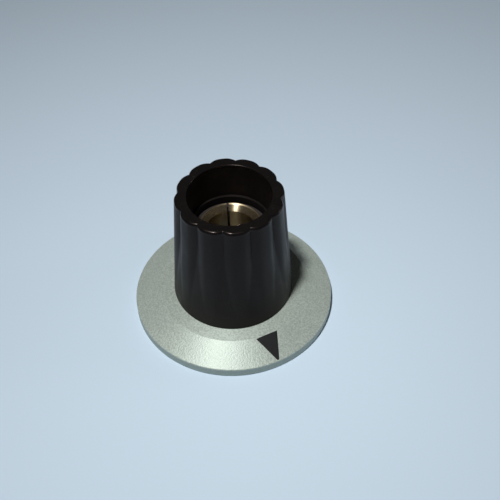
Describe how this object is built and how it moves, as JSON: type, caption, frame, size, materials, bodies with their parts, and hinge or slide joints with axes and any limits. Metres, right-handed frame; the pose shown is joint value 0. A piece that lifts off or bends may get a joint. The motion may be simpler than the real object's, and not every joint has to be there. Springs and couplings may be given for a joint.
{
  "type": "control knob",
  "caption": "Fluted, tapered collet control knob on a conical metal dial skirt with a triangular pointer mark and an open cap well; clamps to a plain round shaft.",
  "frame": {"origin": "centre of the skirt's lower edge, in the plane of the panel that the skirt stands over", "axes": "+Z along the shaft's axis, away from the panel; the pointer mark faces -Y"},
  "size_m": [0.025, 0.025, 0.0181],
  "materials": {
    "black_plastic": "moulded, satin",
    "brass": "turned, dulled",
    "black_steel": "blackened steel, oiled",
    "satin_aluminium": "bead-blasted, satin",
    "black_fill": "paint fill, flat"
  },
  "bodies": {
    "root": {"knob_body": "black_plastic", "collet": "brass", "collet_nut": "black_steel", "dial_skirt": "satin_aluminium", "pointer_mark": "black_fill"}
  },
  "joints": []
}
